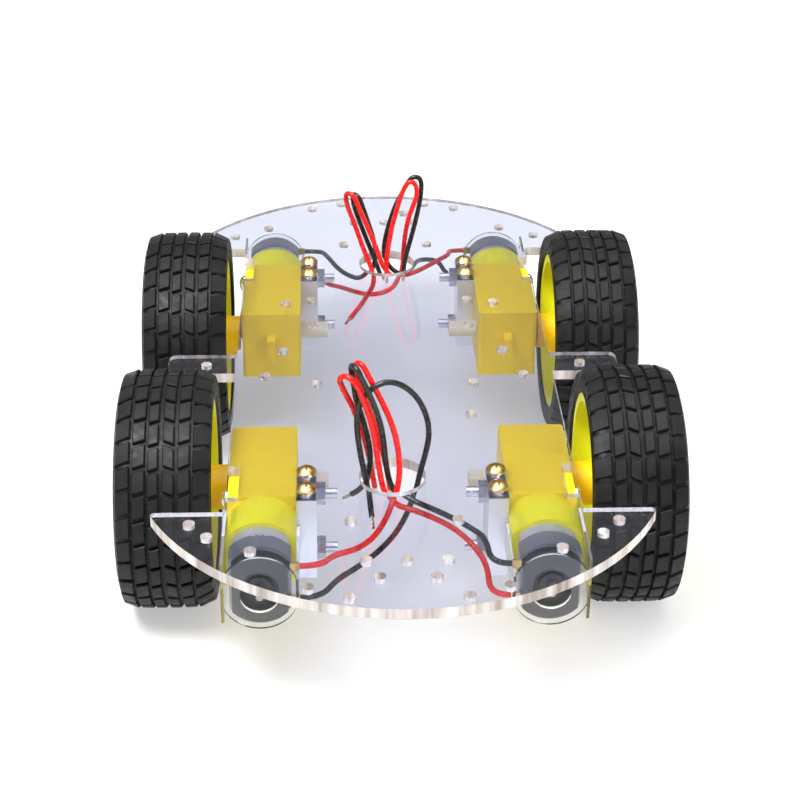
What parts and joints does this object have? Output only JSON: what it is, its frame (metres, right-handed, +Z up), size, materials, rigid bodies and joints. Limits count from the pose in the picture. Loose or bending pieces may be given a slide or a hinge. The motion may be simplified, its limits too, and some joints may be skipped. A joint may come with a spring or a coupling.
{
  "type": "four wheel robot chassis",
  "caption": "Clear acrylic robot car chassis on yellow geared motors with rubber tyred wheels and red and black motor leads.",
  "frame": {"origin": "on the floor under the middle of the plate", "axes": "+Z up, front towards -Y, X along the wheel axles, +Y along the plate's length"},
  "size_m": [0.1568, 0.256, 0.0862],
  "materials": {
    "acrylic": "clear polished acrylic sheet",
    "gold_screw": "yellow zinc, glossy",
    "steel_bolt": "nickel plated, satin",
    "bracket_metal": "satin aluminium",
    "gearbox_yellow": "satin moulded plastic",
    "motor_steel": "drawn steel, satin",
    "endbell_black": "satin black plastic",
    "strap_clear": "clear moulded plastic",
    "gear_white": "natural nylon, satin",
    "tyre_rubber": "matt rubber with block tread",
    "rim_yellow": "satin moulded plastic",
    "wire_red": "smooth insulation, glossy",
    "wire_black": "smooth insulation, glossy"
  },
  "bodies": {
    "chassis": {"chassis_plate": "acrylic", "plate_screws": "gold_screw", "motor_bolts": "steel_bolt", "motor_nuts": "steel_bolt", "motor_bracket_front_left": "bracket_metal", "gearbox_shell_front_left": "gearbox_yellow", "gearbox_cover_front_left": "gearbox_yellow", "motor_can_front_left": "motor_steel", "motor_endbell_front_left": "endbell_black", "motor_strap_front_left": "strap_clear", "motor_bracket_front_right": "bracket_metal", "gearbox_shell_front_right": "gearbox_yellow", "gearbox_cover_front_right": "gearbox_yellow", "motor_can_front_right": "motor_steel", "motor_endbell_front_right": "endbell_black", "motor_strap_front_right": "strap_clear", "motor_bracket_rear_left": "bracket_metal", "gearbox_shell_rear_left": "gearbox_yellow", "gearbox_cover_rear_left": "gearbox_yellow", "motor_can_rear_left": "motor_steel", "motor_endbell_rear_left": "endbell_black", "motor_strap_rear_left": "strap_clear", "motor_bracket_rear_right": "bracket_metal", "gearbox_shell_rear_right": "gearbox_yellow", "gearbox_cover_rear_right": "gearbox_yellow", "motor_can_rear_right": "motor_steel", "motor_endbell_rear_right": "endbell_black", "motor_strap_rear_right": "strap_clear", "wire_red_front_left": "wire_red", "wire_black_front_left": "wire_black", "wire_red_front_right": "wire_red", "wire_black_front_right": "wire_black", "wire_red_rear_left": "wire_red", "wire_black_rear_left": "wire_black", "wire_red_rear_right": "wire_red", "wire_black_rear_right": "wire_black"},
    "wheel_front_left": {"tyre_front_left": "tyre_rubber", "wheel_rim_front_left": "rim_yellow", "output_gear_front_left": "gear_white"},
    "idler_front_left": {"idler_gear_front_left": "gear_white"},
    "crown_front_left": {"crown_gear_front_left": "gear_white"},
    "rotor_front_left": {"rotor_pinion_front_left": "motor_steel"},
    "wheel_front_right": {"tyre_front_right": "tyre_rubber", "wheel_rim_front_right": "rim_yellow", "output_gear_front_right": "gear_white"},
    "idler_front_right": {"idler_gear_front_right": "gear_white"},
    "crown_front_right": {"crown_gear_front_right": "gear_white"},
    "rotor_front_right": {"rotor_pinion_front_right": "motor_steel"},
    "wheel_rear_left": {"tyre_rear_left": "tyre_rubber", "wheel_rim_rear_left": "rim_yellow", "output_gear_rear_left": "gear_white"},
    "idler_rear_left": {"idler_gear_rear_left": "gear_white"},
    "crown_rear_left": {"crown_gear_rear_left": "gear_white"},
    "rotor_rear_left": {"rotor_pinion_rear_left": "motor_steel"},
    "wheel_rear_right": {"tyre_rear_right": "tyre_rubber", "wheel_rim_rear_right": "rim_yellow", "output_gear_rear_right": "gear_white"},
    "idler_rear_right": {"idler_gear_rear_right": "gear_white"},
    "crown_rear_right": {"crown_gear_rear_right": "gear_white"},
    "rotor_rear_right": {"rotor_pinion_rear_right": "motor_steel"}
  },
  "joints": [
    {"name": "wheel_spin_front_left", "type": "hinge", "parent": "chassis", "child": "wheel_front_left", "pos_m": [-0.0652, -0.047, 0.034], "axis": [1, 0, 0], "continuous": true},
    {"name": "idler_spin_front_left", "type": "hinge", "parent": "chassis", "child": "idler_front_left", "pos_m": [-0.0383, -0.05745, 0.034], "axis": [1, 0, 0], "continuous": true},
    {"name": "crown_spin_front_left", "type": "hinge", "parent": "chassis", "child": "crown_front_left", "pos_m": [-0.0383, -0.06545, 0.034], "axis": [1, 0, 0], "continuous": true},
    {"name": "rotor_spin_front_left", "type": "hinge", "parent": "chassis", "child": "rotor_front_left", "pos_m": [-0.0383, -0.07145, 0.034], "axis": [0, 1, 0], "continuous": true},
    {"name": "wheel_spin_front_right", "type": "hinge", "parent": "chassis", "child": "wheel_front_right", "pos_m": [0.0652, -0.047, 0.034], "axis": [1, 0, 0], "continuous": true},
    {"name": "idler_spin_front_right", "type": "hinge", "parent": "chassis", "child": "idler_front_right", "pos_m": [0.0383, -0.05745, 0.034], "axis": [1, 0, 0], "continuous": true},
    {"name": "crown_spin_front_right", "type": "hinge", "parent": "chassis", "child": "crown_front_right", "pos_m": [0.0383, -0.06545, 0.034], "axis": [1, 0, 0], "continuous": true},
    {"name": "rotor_spin_front_right", "type": "hinge", "parent": "chassis", "child": "rotor_front_right", "pos_m": [0.0383, -0.07145, 0.034], "axis": [0, 1, 0], "continuous": true},
    {"name": "wheel_spin_rear_left", "type": "hinge", "parent": "chassis", "child": "wheel_rear_left", "pos_m": [-0.0652, 0.047, 0.034], "axis": [1, 0, 0], "continuous": true},
    {"name": "idler_spin_rear_left", "type": "hinge", "parent": "chassis", "child": "idler_rear_left", "pos_m": [-0.0383, 0.05745, 0.034], "axis": [1, 0, 0], "continuous": true},
    {"name": "crown_spin_rear_left", "type": "hinge", "parent": "chassis", "child": "crown_rear_left", "pos_m": [-0.0383, 0.06545, 0.034], "axis": [1, 0, 0], "continuous": true},
    {"name": "rotor_spin_rear_left", "type": "hinge", "parent": "chassis", "child": "rotor_rear_left", "pos_m": [-0.0383, 0.07145, 0.034], "axis": [0, 1, 0], "continuous": true},
    {"name": "wheel_spin_rear_right", "type": "hinge", "parent": "chassis", "child": "wheel_rear_right", "pos_m": [0.0652, 0.047, 0.034], "axis": [1, 0, 0], "continuous": true},
    {"name": "idler_spin_rear_right", "type": "hinge", "parent": "chassis", "child": "idler_rear_right", "pos_m": [0.0383, 0.05745, 0.034], "axis": [1, 0, 0], "continuous": true},
    {"name": "crown_spin_rear_right", "type": "hinge", "parent": "chassis", "child": "crown_rear_right", "pos_m": [0.0383, 0.06545, 0.034], "axis": [1, 0, 0], "continuous": true},
    {"name": "rotor_spin_rear_right", "type": "hinge", "parent": "chassis", "child": "rotor_rear_right", "pos_m": [0.0383, 0.07145, 0.034], "axis": [0, 1, 0], "continuous": true}
  ],
  "couplings": [
    {"joint": "idler_spin_front_left", "follows": "wheel_spin_front_left", "ratio": -3.75},
    {"joint": "crown_spin_front_left", "follows": "wheel_spin_front_left", "ratio": 15},
    {"joint": "rotor_spin_front_left", "follows": "wheel_spin_front_left", "ratio": 48},
    {"joint": "idler_spin_front_right", "follows": "wheel_spin_front_right", "ratio": -3.75},
    {"joint": "crown_spin_front_right", "follows": "wheel_spin_front_right", "ratio": 15},
    {"joint": "rotor_spin_front_right", "follows": "wheel_spin_front_right", "ratio": -48},
    {"joint": "idler_spin_rear_left", "follows": "wheel_spin_rear_left", "ratio": -3.75},
    {"joint": "crown_spin_rear_left", "follows": "wheel_spin_rear_left", "ratio": 15},
    {"joint": "rotor_spin_rear_left", "follows": "wheel_spin_rear_left", "ratio": -48},
    {"joint": "idler_spin_rear_right", "follows": "wheel_spin_rear_right", "ratio": -3.75},
    {"joint": "crown_spin_rear_right", "follows": "wheel_spin_rear_right", "ratio": 15},
    {"joint": "rotor_spin_rear_right", "follows": "wheel_spin_rear_right", "ratio": 48}
  ]
}
